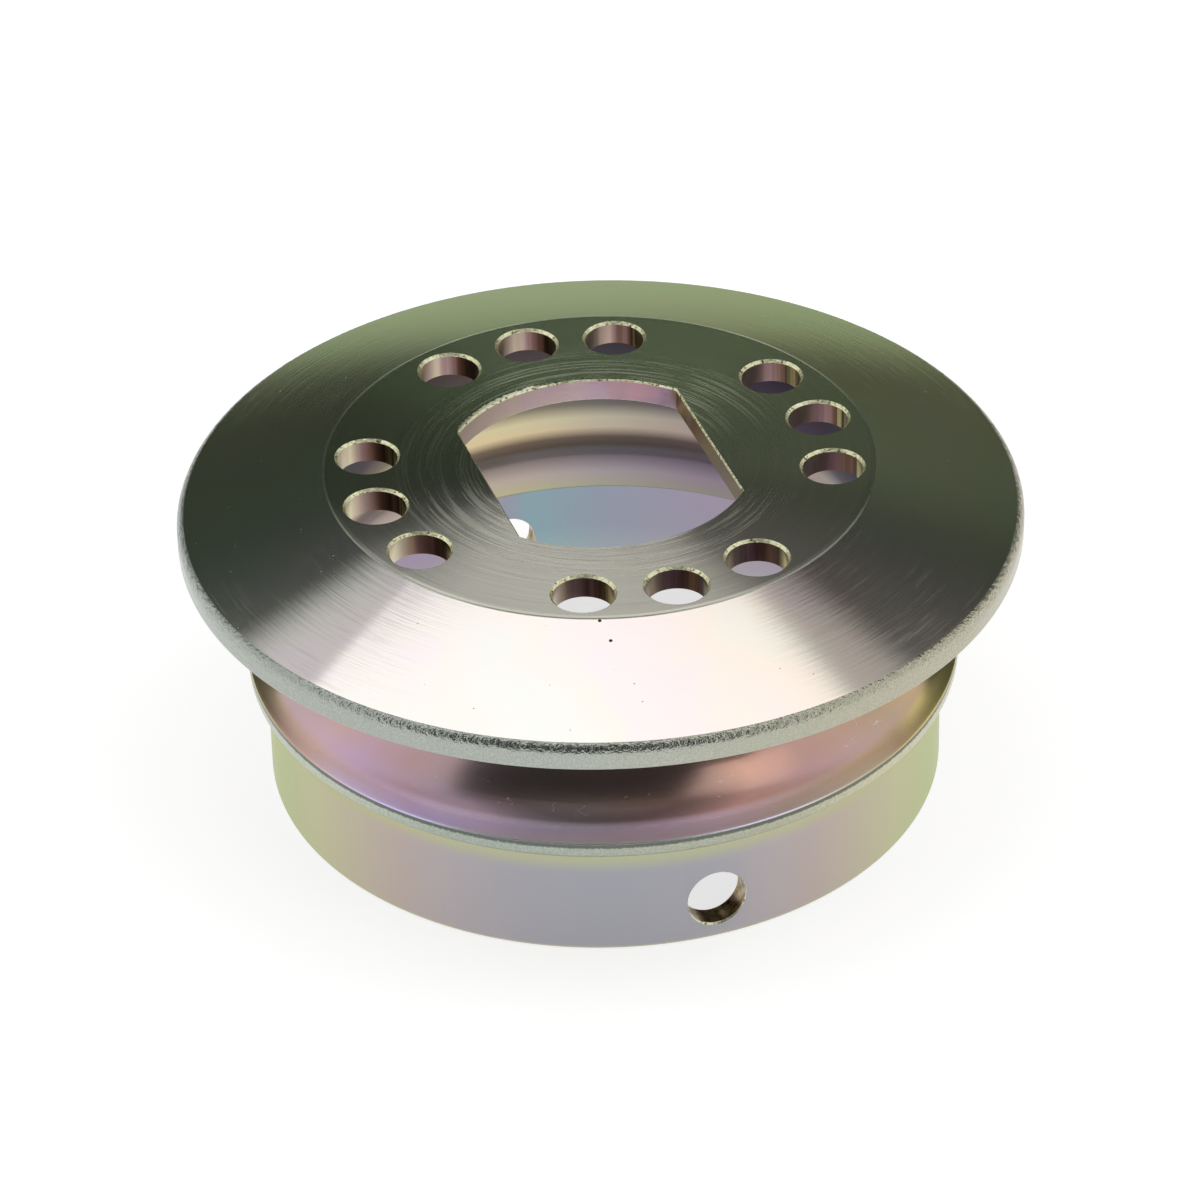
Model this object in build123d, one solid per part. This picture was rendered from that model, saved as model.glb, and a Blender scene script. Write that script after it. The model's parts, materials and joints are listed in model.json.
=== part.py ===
from build123d import *
import math
import os

# One half of a split V-belt pulley for an alternator.
# The origin is on the turning axis, in the plane of the flat shim face, and +Z points out of
# that face. The rest hangs below it: belt cone, waist, seating lip and open skirt.
# Lengths are in millimetres and angles in degrees.

# Shim face and belt cone
rim_diameter = 110.0
shim_face_diameter = 71.4
shim_face_thickness = 3.2
belt_cone_slope = 17.0
flange_thickness = 3.3
rim_rounding = 1.3
rim_rounding_runs = 2
rim_lower_rounding = 0.4

# Waist between the flange and the seating lip
waist_diameter = 77.6
waist_height = 14.05
waist_groove_radius = 14.0
groove_curve_steps = 5
waist_wall = 3.0
waist_flare_start = 4.25

# Seating lip and skirt
lip_overhang = 2.3
lip_edge_height = 2.3
lip_lower_rounding = 0.8
lip_root_rounding = 1.1
skirt_diameter = 89.0
skirt_wall = 3.0
overall_height = 45.2
shoulder_wall = 4.2
shoulder_below_lip = 1.8
shoulder_rounding = 0.8
skirt_end_rounding = 0.7
skirt_end_inner_rounding = 0.5

# Double-D drive bore
drive_bore_diameter = 39.4
drive_bore_across_flats = 30.0
drive_bore_break = 0.3

# Peg holes in the shim face: groups of holes on one pitch circle
peg_hole_diameter = 7.8
peg_hole_chamfer = 0.35
peg_circle_diameter = 60.3
peg_groups = 4
pegs_per_group = 3
peg_pitch = 22.5

# Side holes through the skirt, in line with the bore's flats
side_hole_diameter = 7.8
side_hole_chamfer = 0.25
side_hole_above_end = 6.2
side_hole_count = 2


def cone_height(radius):
    """Height of the belt cone's running face at a radius outside the shim face."""
    return -(radius - shim_face_diameter / 2) * math.tan(math.radians(belt_cone_slope))


def underside_height(radius):
    """Height of the flange's underside, which runs parallel to the belt cone."""
    return cone_height(radius) - flange_thickness / math.cos(math.radians(belt_cone_slope))


def groove_centre():
    """Centre of the round groove outside the waist, as radius and height."""
    return waist_diameter / 2 + waist_groove_radius, -waist_height


def groove_height_below(radius, wall=0.0):
    """Height at which the groove, or the face one wall inside it, reaches a radius lower down."""
    centre_radius, centre_height = groove_centre()
    arc_radius = waist_groove_radius + wall
    return centre_height - math.sqrt(arc_radius**2 - (centre_radius - radius) ** 2)


def groove_under_flange():
    """Point where the groove, above its middle, meets the underside of the flange."""
    centre_radius, centre_height = groove_centre()
    low, high = 0.0, math.pi / 2
    while high - low > 1e-9:
        angle = (low + high) / 2
        radius = centre_radius - waist_groove_radius * math.cos(angle)
        height = centre_height + waist_groove_radius * math.sin(angle)
        if height < underside_height(radius):
            low = angle
        else:
            high = angle
    return radius, height


def groove_angle(point):
    """Angle of a point of the groove, seen from the groove's centre."""
    centre_radius, centre_height = groove_centre()
    return math.atan2(point[1] - centre_height, point[0] - centre_radius) % (2 * math.pi)


def groove_points(start, end):
    """Evenly spaced points along the groove's arc, from one of its points to another."""
    centre_radius, centre_height = groove_centre()
    start_angle = groove_angle(start)
    step = (groove_angle(end) - start_angle) / groove_curve_steps
    points = []
    for place in range(groove_curve_steps + 1):
        angle = start_angle + place * step
        radius = centre_radius + waist_groove_radius * math.cos(angle)
        points.append((radius, centre_height + waist_groove_radius * math.sin(angle)))
    return points


def rounded(before, corner, after, radius, runs=1):
    """Points of a rounded corner, in straight runs that keep the mesh of the turned part light."""
    corner = Vector(*corner)
    back = (Vector(*before) - corner).normalized()
    ahead = (Vector(*after) - corner).normalized()
    half_angle = math.radians(back.get_angle(ahead)) / 2
    middle = (back + ahead).normalized()
    centre = corner + middle * (radius / math.sin(half_angle))
    swing = math.pi / 2 - half_angle
    side = (ahead - middle * ahead.dot(middle)).normalized()
    points = []
    for place in range(runs + 1):
        angle = swing * (2 * place / runs - 1)
        points.append(centre - middle * (radius * math.cos(angle)) + side * (radius * math.sin(angle)))
    return points


def section():
    """Half section of the pulley half: radius along X and height along Y."""
    rim_radius = rim_diameter / 2
    shim_radius = shim_face_diameter / 2
    skirt_radius = skirt_diameter / 2
    lip_radius = skirt_radius + lip_overhang
    skirt_inside = skirt_radius - skirt_wall
    shoulder_inside = skirt_radius - shoulder_wall
    waist_inside = waist_diameter / 2 - waist_wall

    shim_edge = (shim_radius, 0)
    rim_top = (rim_radius, cone_height(rim_radius))
    rim_bottom = (rim_radius, underside_height(rim_radius))
    groove_top = groove_under_flange()
    lip_top = (lip_radius, groove_height_below(lip_radius))
    lip_bottom = (lip_radius, lip_top[1] - lip_edge_height)
    lip_root = (skirt_radius, lip_bottom[1])
    skirt_end_outside = (skirt_radius, -overall_height)
    skirt_end_inside = (skirt_inside, -overall_height)
    shoulder_outer_corner = (skirt_inside, lip_bottom[1] - shoulder_below_lip)
    shoulder_end = (shoulder_inside, shoulder_outer_corner[1])
    shoulder_top = (shoulder_inside, groove_height_below(shoulder_inside, waist_wall))
    waist_bore_end = (waist_inside, -waist_height - waist_flare_start)
    waist_bore_start = (waist_inside, -shim_face_thickness)

    above_groove = [(0, 0), shim_edge]
    above_groove += rounded(shim_edge, rim_top, rim_bottom, rim_rounding, rim_rounding_runs)
    above_groove += rounded(rim_top, rim_bottom, groove_top, rim_lower_rounding)
    above_groove += [groove_top]

    below_groove = [lip_top]
    below_groove += rounded(lip_top, lip_bottom, lip_root, lip_lower_rounding)
    below_groove += rounded(lip_bottom, lip_root, skirt_end_outside, lip_root_rounding)
    below_groove += rounded(lip_root, skirt_end_outside, skirt_end_inside, skirt_end_rounding)
    below_groove += rounded(
        skirt_end_outside, skirt_end_inside, shoulder_outer_corner, skirt_end_inner_rounding
    )
    below_groove += [shoulder_outer_corner]
    below_groove += rounded(shoulder_outer_corner, shoulder_end, shoulder_top, shoulder_rounding)
    below_groove += [shoulder_top, waist_bore_end, waist_bore_start]
    below_groove += [(0, -shim_face_thickness), (0, 0)]

    with BuildSketch() as sketch:
        with BuildLine():
            Polyline(*above_groove)
            # A spline follows the groove's arc within 0.01 mm, and its mesh is a third lighter.
            Spline(*groove_points(groove_top, lip_top))
            Polyline(*below_groove)
        make_face()
    return sketch.sketch.face()


def drive_bore():
    """Cutter for the double-D bore, with its broken upper and lower edges."""
    with BuildPart() as cutter:
        for height, outward in ((0, 1), (-shim_face_thickness, -1)):
            with BuildSketch(Plane.XY.offset(height)):
                double_d(drive_bore_break)
            with BuildSketch(Plane.XY.offset(height - outward * drive_bore_break)):
                double_d(0)
            loft()
        with BuildSketch(Plane.XY.offset(-shim_face_thickness)):
            double_d(0)
        extrude(amount=shim_face_thickness)
    return cutter.part


def double_d(growth):
    """Sketch of the bore: a circle cut by two flats, each side moved out by the growth."""
    Circle(drive_bore_diameter / 2 + growth)
    Rectangle(
        drive_bore_across_flats + 2 * growth,
        2 * drive_bore_diameter,
        mode=Mode.INTERSECT,
    )


def peg_holes():
    """Cutter for the peg holes: each group is centred on an axis and fans out by the pitch."""
    cutter = Part()
    for group in range(peg_groups):
        for place in range(pegs_per_group):
            turn = group * 360 / peg_groups + (place - (pegs_per_group - 1) / 2) * peg_pitch
            cutter += Rot(0, 0, turn) * Pos(peg_circle_diameter / 2, 0, 0) * peg_hole_cutter()
    return cutter


def peg_hole_cutter():
    """Straight hole through the shim face with its countersunk upper edge."""
    hole_radius = peg_hole_diameter / 2
    mouth_radius = hole_radius + peg_hole_chamfer
    straight = Pos(0, 0, -shim_face_thickness / 2) * Cylinder(hole_radius, 2 * shim_face_thickness)
    mouth = Pos(0, 0, -peg_hole_chamfer / 2) * Cone(hole_radius, mouth_radius, peg_hole_chamfer)
    return straight + mouth


def side_holes():
    """Cutter for the side holes, drilled square to the axis through the skirt's wall."""
    cutter = Part()
    height = side_hole_above_end - overall_height
    skirt_radius = skirt_diameter / 2
    hole_radius = side_hole_diameter / 2
    for place in range(side_hole_count):
        turn = Rot(0, 0, 90 + place * 360 / side_hole_count)
        drill = Pos(skirt_radius, 0, height) * Rot(0, 90, 0) * Cylinder(hole_radius, 4 * skirt_wall)
        cutter += turn * drill
    return cutter


def side_hole_edges(part):
    """Edges where the side holes leave the skirt's outer wall."""
    height = side_hole_above_end - overall_height
    found = []
    for edge in part.edges():
        middle = edge.center(CenterOf.BOUNDING_BOX)
        near_height = abs(middle.Z - height) < side_hole_diameter / 10
        reach = math.hypot(edge.position_at(0.25).X, edge.position_at(0.25).Y)
        outside = abs(reach - skirt_diameter / 2) < skirt_wall / 10
        if near_height and outside and edge.geom_type != GeomType.LINE:
            found.append(edge)
    return found


def pulley_half():
    """The whole piece: the turned section, then the bore, the peg holes and the side holes."""
    turned = revolve(Plane.XZ * section(), Axis.Z)
    part = turned - drive_bore() - peg_holes() - side_holes()
    return chamfer(side_hole_edges(part), side_hole_chamfer)


os.makedirs("parts", exist_ok=True)
body = pulley_half()
export_step(body, "parts/pulley_half.step")
print("volume", round(body.volume), "mm3, height", round(body.bounding_box().size.Z, 2), "mm")
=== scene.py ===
import json
import math

import bmesh
import bpy
from mathutils import Matrix, Vector


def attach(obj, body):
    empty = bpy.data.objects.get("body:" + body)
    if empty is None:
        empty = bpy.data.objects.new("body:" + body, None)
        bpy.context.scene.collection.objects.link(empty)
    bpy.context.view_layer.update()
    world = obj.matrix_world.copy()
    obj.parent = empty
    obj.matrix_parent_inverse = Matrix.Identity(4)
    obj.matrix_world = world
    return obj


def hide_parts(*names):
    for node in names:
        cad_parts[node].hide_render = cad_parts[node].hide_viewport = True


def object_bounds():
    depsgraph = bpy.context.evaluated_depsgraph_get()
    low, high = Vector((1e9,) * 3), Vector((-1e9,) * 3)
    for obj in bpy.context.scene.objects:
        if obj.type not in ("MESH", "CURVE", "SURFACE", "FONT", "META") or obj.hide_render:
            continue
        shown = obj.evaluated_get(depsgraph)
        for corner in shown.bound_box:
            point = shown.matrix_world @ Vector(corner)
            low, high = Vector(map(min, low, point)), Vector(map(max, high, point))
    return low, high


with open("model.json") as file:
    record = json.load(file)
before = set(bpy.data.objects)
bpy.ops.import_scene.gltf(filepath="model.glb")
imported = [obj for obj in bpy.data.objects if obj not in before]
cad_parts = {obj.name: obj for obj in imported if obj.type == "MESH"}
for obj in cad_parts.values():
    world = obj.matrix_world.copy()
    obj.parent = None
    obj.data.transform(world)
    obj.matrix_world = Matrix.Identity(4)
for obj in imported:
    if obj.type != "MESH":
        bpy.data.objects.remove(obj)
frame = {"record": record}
cad_box = [list(corner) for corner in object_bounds()]

MM = 0.001
mounts = {mount["name"]: mount for mount in frame["record"]["mounts"]}


# Sizes of the pulley half, in metres, from the frame and the part's own drawing

# The shown rim stays a hair inside the CAD mesh's own box.
rim_radius = min(cad_box[1][:2]) - 0.002 * MM
pulley_foot = cad_box[0][2]
shim_face_radius = 35.7 * MM
shim_face_thickness = mounts["drive_bore"]["dims"]["length_mm"] * MM
belt_cone_angle = math.radians(17.0)
belt_cone_slope = math.tan(belt_cone_angle)
flange_height = 3.3 * MM / math.cos(belt_cone_angle)
rim_rounding = 1.3 * MM
rim_lower_rounding = 0.4 * MM

waist_radius = 38.8 * MM
waist_height = -14.05 * MM
waist_groove_radius = 14.0 * MM
waist_wall = 3.0 * MM
groove_centre_radius = waist_radius + waist_groove_radius
flange_root_angle = math.radians(38.5)

skirt_radius = mounts["skirt_register"]["dims"]["r_mm"] * MM
skirt_wall = 3.0 * MM
lip_radius = skirt_radius + 2.3 * MM
lip_edge_height = 2.3 * MM
lip_upper_rounding = 0.3 * MM
lip_lower_rounding = 0.8 * MM
lip_root_rounding = 1.1 * MM
lip_reach = waist_groove_radius**2 - (groove_centre_radius - lip_radius) ** 2
lip_top_height = waist_height - math.sqrt(lip_reach)
lip_bottom_height = lip_top_height - lip_edge_height
shoulder_wall = 4.2 * MM
shoulder_below_lip = 1.8 * MM
shoulder_rounding = 0.8 * MM
shoulder_top_rounding = 5.0 * MM
flare_radius = 39.0 * MM
skirt_end_rounding = 0.7 * MM
skirt_end_inner_rounding = 0.5 * MM

drive_bore_radius = mounts["drive_bore"]["dims"]["r_mm"] * MM
drive_bore_half_flats = 15.0 * MM
drive_bore_break = 0.22 * MM
peg_hole_radius = mounts["peg_holes_along_x"]["dims"]["hole_r_mm"] * MM
peg_circle_radius = mounts["peg_holes_along_x"]["dims"]["spacing_x_mm"] / 2 * MM
peg_hole_chamfer = 0.36 * MM
peg_pitch = 22.5
peg_angles = [group * 90.0 + place * peg_pitch for group in range(4) for place in (-1, 0, 1)]
side_hole_radius = mounts["side_hole_plus_y"]["dims"]["r_mm"] * MM
side_hole_height = mounts["side_hole_plus_y"]["pos_m"][2]
side_hole_chamfer = 0.25 * MM

turned_steps = 360
groove_steps = 40
flare_steps = 24
hole_steps = 96
rounding_steps = 8
sharp_edge_angle = 12.0
same_place = 1e-7


# Turned body

def new_point(mesh, radius, height):
    return mesh.verts.new((radius, 0, height))


def run_through(mesh, points):
    """Joins section points with straight edges."""
    for start, end in zip(points, points[1:]):
        mesh.edges.new((start, end))


def swing(mesh, point, centre, angle, steps):
    """Swings a section point round a centre, which draws an arc, and returns its last point."""
    made = bmesh.ops.spin(
        mesh,
        geom=[point],
        cent=(centre[0], 0, centre[1]),
        axis=(0, 1, 0),
        angle=angle,
        steps=steps,
    )
    return next(part for part in made["geom_last"] if isinstance(part, bmesh.types.BMVert))


def round_corner(mesh, point, radius):
    """Rounds one corner of the section to a radius."""
    ends = [edge.other_vert(point).co - point.co for edge in point.link_edges]
    reach = radius / math.tan(ends[0].angle(ends[1]) / 2)
    bmesh.ops.bevel(
        mesh,
        geom=[point],
        offset=reach,
        offset_type="OFFSET",
        segments=rounding_steps,
        profile=0.5,
        affect="VERTICES",
        material=-1,
    )


def spin_round_axis(mesh, steps):
    """Spins a section once round the axis and joins the points that meet."""
    bmesh.ops.spin(
        mesh,
        geom=mesh.verts[:] + mesh.edges[:],
        cent=(0, 0, 0),
        axis=(0, 0, 1),
        angle=2 * math.pi,
        steps=steps,
        use_merge=True,
    )
    bmesh.ops.remove_doubles(mesh, verts=mesh.verts[:], dist=same_place)
    bmesh.ops.recalc_face_normals(mesh, faces=mesh.faces[:])


def turned_body():
    """Section of the pulley half, drawn at its right hand side and spun round the axis."""
    mesh = bmesh.new()
    centre = (groove_centre_radius, waist_height)

    def cone_height(radius):
        return -(radius - shim_face_radius) * belt_cone_slope

    def groove_height(radius, wall=0.0):
        reach = (waist_groove_radius + wall) ** 2 - (groove_centre_radius - radius) ** 2
        return waist_height - math.sqrt(reach)

    blank_radius = drive_bore_half_flats / 2
    blank_top = new_point(mesh, blank_radius, 0)
    shim_edge = new_point(mesh, shim_face_radius, 0)
    rim_top = new_point(mesh, rim_radius, cone_height(rim_radius))
    rim_bottom = new_point(mesh, rim_radius, cone_height(rim_radius) - flange_height)

    flange_root = new_point(
        mesh,
        groove_centre_radius - waist_groove_radius * math.cos(flange_root_angle),
        waist_height + waist_groove_radius * math.sin(flange_root_angle),
    )
    lip_angle = math.acos((groove_centre_radius - lip_radius) / waist_groove_radius)
    lip_top = swing(mesh, flange_root, centre, -(flange_root_angle + lip_angle), groove_steps)
    lip_bottom = new_point(mesh, lip_radius, lip_top.co.z - lip_edge_height)
    lip_root = new_point(mesh, skirt_radius, lip_bottom.co.z)
    skirt_end_outside = new_point(mesh, skirt_radius, pulley_foot)
    skirt_end_inside = new_point(mesh, skirt_radius - skirt_wall, pulley_foot)
    shoulder_height = lip_bottom.co.z - shoulder_below_lip
    shoulder_corner = new_point(mesh, skirt_radius - skirt_wall, shoulder_height)
    shoulder_radius = skirt_radius - shoulder_wall
    shoulder_end = new_point(mesh, shoulder_radius, shoulder_height)
    flare_cosine = (groove_centre_radius - flare_radius) / (waist_groove_radius + waist_wall)
    flare_angle = math.acos(flare_cosine)
    flare_end = new_point(mesh, flare_radius, groove_height(flare_radius, waist_wall))
    shoulder_drop = (shoulder_radius - flare_radius) / math.tan(flare_angle)
    shoulder_top = new_point(mesh, shoulder_radius, flare_end.co.z - shoulder_drop)
    waist_inside = swing(mesh, flare_end, centre, flare_angle, flare_steps)
    plate_root = new_point(mesh, waist_inside.co.x, -shim_face_thickness)
    blank_bottom = new_point(mesh, blank_radius, -shim_face_thickness)

    run_through(mesh, [blank_top, shim_edge, rim_top, rim_bottom, flange_root])
    run_through(
        mesh,
        [lip_top, lip_bottom, lip_root, skirt_end_outside, skirt_end_inside, shoulder_corner],
    )
    run_through(mesh, [shoulder_corner, shoulder_end, shoulder_top, flare_end])
    run_through(mesh, [waist_inside, plate_root, blank_bottom, blank_top])

    round_corner(mesh, rim_top, rim_rounding)
    round_corner(mesh, rim_bottom, rim_lower_rounding)
    round_corner(mesh, lip_top, lip_upper_rounding)
    round_corner(mesh, lip_bottom, lip_lower_rounding)
    round_corner(mesh, lip_root, lip_root_rounding)
    round_corner(mesh, skirt_end_outside, skirt_end_rounding)
    round_corner(mesh, skirt_end_inside, skirt_end_inner_rounding)
    round_corner(mesh, shoulder_end, shoulder_rounding)
    round_corner(mesh, shoulder_top, shoulder_top_rounding)

    spin_round_axis(mesh, turned_steps)
    return mesh


# Cutters for the holes

def spun_cutter(points):
    """Closed cutter, spun round Z from points of its outline, each a radius and a height."""
    mesh = bmesh.new()
    outline = [new_point(mesh, radius, height) for radius, height in points]
    run_through(mesh, outline)
    spin_round_axis(mesh, hole_steps)
    return mesh


def peg_hole_cutter():
    """Straight hole through the shim face, with its mouth opened by a chamfer."""
    return spun_cutter(
        [
            (0, -2 * shim_face_thickness),
            (peg_hole_radius, -2 * shim_face_thickness),
            (peg_hole_radius, -peg_hole_chamfer),
            (peg_hole_radius + 2 * peg_hole_chamfer, peg_hole_chamfer),
            (0, peg_hole_chamfer),
        ]
    )


def side_hole_cutter():
    """Straight hole through the skirt's wall, drawn along Z with the skirt's face at nought."""
    return spun_cutter(
        [
            (0, -2 * skirt_wall),
            (side_hole_radius, -2 * skirt_wall),
            (side_hole_radius, -side_hole_chamfer),
            (side_hole_radius + 4 * side_hole_chamfer, 3 * side_hole_chamfer),
            (0, 3 * side_hole_chamfer),
        ]
    )


def drive_bore_cutter():
    """Round plug cut by two flats, drawn out wider at the broken edges of both faces."""
    mesh = bmesh.new()
    bmesh.ops.create_circle(mesh, cap_ends=True, segments=turned_steps, radius=drive_bore_radius)
    for side in (1, -1):
        bmesh.ops.bisect_plane(
            mesh,
            geom=mesh.verts[:] + mesh.edges[:] + mesh.faces[:],
            plane_co=(side * drive_bore_half_flats, 0, 0),
            plane_no=(side, 0, 0),
            clear_outer=True,
        )

    def widened(growth):
        return 1 + growth / drive_bore_half_flats, 1 + growth / drive_bore_radius

    height, growth = drive_bore_break, 2 * drive_bore_break
    plug_top = layer = next(iter(mesh.faces))
    bmesh.ops.translate(mesh, verts=layer.verts[:], vec=(0, 0, height))
    bmesh.ops.scale(mesh, verts=layer.verts[:], vec=(*widened(growth), 1))
    below = (
        (-drive_bore_break, 0.0),
        (drive_bore_break - shim_face_thickness, 0.0),
        (-drive_bore_break - shim_face_thickness, 2 * drive_bore_break),
    )
    for next_height, next_growth in below:
        made = bmesh.ops.extrude_face_region(mesh, geom=[layer])
        if layer is not plug_top:
            bmesh.ops.delete(mesh, geom=[layer], context="FACES_ONLY")
        layer = next(part for part in made["geom"] if isinstance(part, bmesh.types.BMFace))
        bmesh.ops.translate(mesh, verts=layer.verts[:], vec=(0, 0, next_height - height))
        ratio = [new / old for new, old in zip(widened(next_growth), widened(growth))]
        bmesh.ops.scale(mesh, verts=layer.verts[:], vec=(*ratio, 1))
        height, growth = next_height, next_growth
    bmesh.ops.recalc_face_normals(mesh, faces=mesh.faces[:])
    return mesh


def placed(mesh, matrix, materials):
    """Makes a cutter of a mesh, moved to its place, with the materials of its wall and mouth."""
    for face in mesh.faces:
        sloped = 0.2 < abs(face.normal.z) < 0.98
        face.material_index = 1 if sloped else 0
    bmesh.ops.transform(mesh, matrix=matrix, verts=mesh.verts[:])
    return as_object(mesh, "cutter", materials)


def as_object(mesh, name, materials):
    """Puts a mesh in the scene as a smooth object."""
    for face in mesh.faces:
        face.smooth = True
    data = bpy.data.meshes.new(name)
    mesh.to_mesh(data)
    mesh.free()
    for material in materials:
        data.materials.append(material)
    piece = bpy.data.objects.new(name, data)
    bpy.context.scene.collection.objects.link(piece)
    return piece


def cut(piece, cutters):
    """Cuts the holes out of a piece, and takes the cutters away again."""
    group = bpy.data.collections.new("cutters")
    for cutter in cutters:
        group.objects.link(cutter)
    modifier = piece.modifiers.new("holes", "BOOLEAN")
    modifier.operation = "DIFFERENCE"
    modifier.operand_type = "COLLECTION"
    modifier.collection = group
    modifier.solver = "MANIFOLD"
    modifier.material_mode = "TRANSFER"
    result = piece.evaluated_get(bpy.context.evaluated_depsgraph_get())
    data = bpy.data.meshes.new_from_object(result)
    piece.modifiers.clear()
    piece.data = data
    for cutter in cutters:
        bpy.data.objects.remove(cutter)
    bpy.data.collections.remove(group)


# Node helpers

def feed(tree, node, inputs):
    """Gives a node its inputs, each a value or another node's socket."""
    for place, value in dict(inputs).items():
        if isinstance(value, bpy.types.NodeSocket):
            tree.links.new(value, node.inputs[place])
        else:
            node.inputs[place].default_value = value


def build(tree, kind, inputs=(), **settings):
    """Adds a node with its settings and its inputs."""
    made = tree.nodes.new("ShaderNode" + kind)
    for name, value in settings.items():
        setattr(made, name, value)
    feed(tree, made, inputs)
    return made


def maths(tree, operation, *values):
    """Adds one step of arithmetic and returns its result."""
    return build(tree, "Math", enumerate(values), operation=operation).outputs[0]


def total(tree, result, *others):
    """Adds up values."""
    for other in others:
        result = maths(tree, "ADD", result, other)
    return result


def product(tree, result, *others):
    """Multiplies values together."""
    for other in others:
        result = maths(tree, "MULTIPLY", result, other)
    return result


def scaled(tree, vector, factor):
    """Multiplies a vector by a number."""
    return build(tree, "VectorMath", {0: vector, 3: factor}, operation="SCALE").outputs[0]


def distance(tree, point, centre):
    """How far a point lies from a centre."""
    apart = build(tree, "VectorMath", {0: point, 1: centre}, operation="DISTANCE")
    return apart.outputs["Value"]


def noise(tree, vector, scale, detail=2.0, roughness=0.5):
    """Soft random texture, as a value and as a colour."""
    inputs = {"Vector": vector, "Scale": scale, "Detail": detail, "Roughness": roughness}
    return build(tree, "TexNoise", inputs).outputs


def spread(tree, value, low, high, new_low, new_high):
    """Maps a range of a value smoothly onto a new range."""
    inputs = {0: value, 1: low, 2: high, 3: new_low, 4: new_high}
    return build(tree, "MapRange", inputs, interpolation_type="SMOOTHSTEP").outputs[0]


def blend(tree, share, first, second, how="MIX"):
    """Blends two colours by a share."""
    inputs = {0: share, 6: first, 7: second}
    return build(tree, "Mix", inputs, data_type="RGBA", blend_type=how).outputs[2]


def ramp(tree, value, stops):
    """Colours a value by stops, each a place and a colour."""
    made = build(tree, "ValToRGB", {0: value})
    elements = made.color_ramp.elements
    while len(elements) < len(stops):
        elements.new(0.5)
    for element, (place, colour) in zip(elements, stops):
        element.position = place
        element.color = (*colour, 1)
    return made.outputs[0]


def shared_effect(name, inputs, outputs):
    """Starts a node group with named inputs and outputs."""
    group = bpy.data.node_groups.new(name, "ShaderNodeTree")
    kinds = {float: "NodeSocketFloat", tuple: "NodeSocketVector"}
    for label, value in inputs.items():
        socket = group.interface.new_socket(label, in_out="INPUT", socket_type=kinds[type(value)])
        socket.default_value = value
    for label, value in outputs.items():
        group.interface.new_socket(label, in_out="OUTPUT", socket_type=kinds[type(value)])
    given = group.nodes.new("NodeGroupInput").outputs
    result = group.nodes.new("NodeGroupOutput").inputs
    return group, given, result


def place_effect(tree, group, inputs=()):
    """Puts a shared effect in a material, with its own values."""
    made = tree.nodes.new("ShaderNodeGroup")
    made.node_tree = group
    feed(tree, made, inputs)
    return made.outputs


# Effects that the finishes share

nowhere = (0.0, 0.0, 0.0)


def turned_position_effect():
    """Radius and height on the pulley in millimetres, and the direction round its axis."""
    group, _, result = shared_effect(
        "turned_position",
        {},
        {"Radius": 0.0, "Height": 0.0, "Around": nowhere, "Point": nowhere},
    )
    point = build(group, "TexCoord").outputs["Object"]
    in_mm = scaled(group, point, 1 / MM)
    parts = build(group, "SeparateXYZ", {0: in_mm}).outputs
    flat = build(group, "CombineXYZ", {0: parts["X"], 1: parts["Y"]}).outputs[0]
    radius = build(group, "VectorMath", {0: flat}, operation="LENGTH").outputs["Value"]
    around = build(group, "VectorMath", {0: flat}, operation="NORMALIZE").outputs[0]
    group.links.new(radius, result["Radius"])
    group.links.new(parts["Z"], result["Height"])
    group.links.new(around, result["Around"])
    group.links.new(in_mm, result["Point"])
    return group


def turning_marks_effect():
    """Fine marks of the turning tool: rings whose height varies across and a little round them.

    Spacing is in millimetres. A mark runs about a twentieth of Length round the axis, in radians.
    """
    group, given, result = shared_effect(
        "turning_marks",
        {"Across": 0.0, "Around": nowhere, "Spacing": 0.5, "Length": 4.0},
        {"Marks": 0.0},
    )
    across = maths(group, "DIVIDE", given["Across"], given["Spacing"])
    bend = maths(group, "DIVIDE", 20.0, given["Length"])
    place = build(group, "CombineXYZ", {2: across}).outputs[0]
    round_it = scaled(group, given["Around"], bend)
    vector = build(group, "VectorMath", {0: place, 1: round_it}, operation="ADD").outputs[0]
    group.links.new(noise(group, vector, 1.0, roughness=0.6)[0], result["Marks"])
    return group


def wrinkles_effect():
    """Mottled skin of a rolled or pressed edge, as a height. Size is in millimetres."""
    group, given, result = shared_effect(
        "wrinkles",
        {"Point": nowhere, "Size": 1.0, "Detail": 2.0},
        {"Height": 0.0},
    )
    scale = maths(group, "DIVIDE", 1.0, given["Size"])
    group.links.new(noise(group, given["Point"], scale, given["Detail"])[0], result["Height"])
    return group


def handling_marks_effect():
    """Masks of the small nicks and specks that handling leaves. Size is in millimetres."""
    group, given, result = shared_effect(
        "handling_marks",
        {"Point": nowhere, "Size": 3.0, "Amount": 0.5},
        {"Nicks": 0.0, "Specks": 0.0},
    )
    point = given["Point"]
    scale = maths(group, "DIVIDE", 1.0, given["Size"])
    limit = maths(group, "SUBTRACT", 1.0, given["Amount"])

    shift = scaled(group, noise(group, point, 0.6)[1], 4.0)
    bent = build(group, "VectorMath", {0: point, 1: shift}, operation="ADD").outputs[0]
    cells = build(group, "TexVoronoi", {"Vector": bent, "Scale": scale}, feature="DISTANCE_TO_EDGE")
    line = spread(group, cells.outputs["Distance"], 0.0, 0.012, 1.0, 0.0)
    nicked = maths(group, "GREATER_THAN", noise(group, point, 0.35)[0], limit)
    group.links.new(product(group, line, nicked), result["Nicks"])

    dots = build(group, "TexVoronoi", {"Vector": point, "Scale": scale}).outputs
    dot = spread(group, dots["Distance"], 0.03, 0.06, 1.0, 0.0)
    chance = build(group, "SeparateColor", {0: dots["Color"]}).outputs[0]
    chosen = maths(group, "GREATER_THAN", chance, limit)
    group.links.new(product(group, dot, chosen), result["Specks"])
    return group


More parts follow.
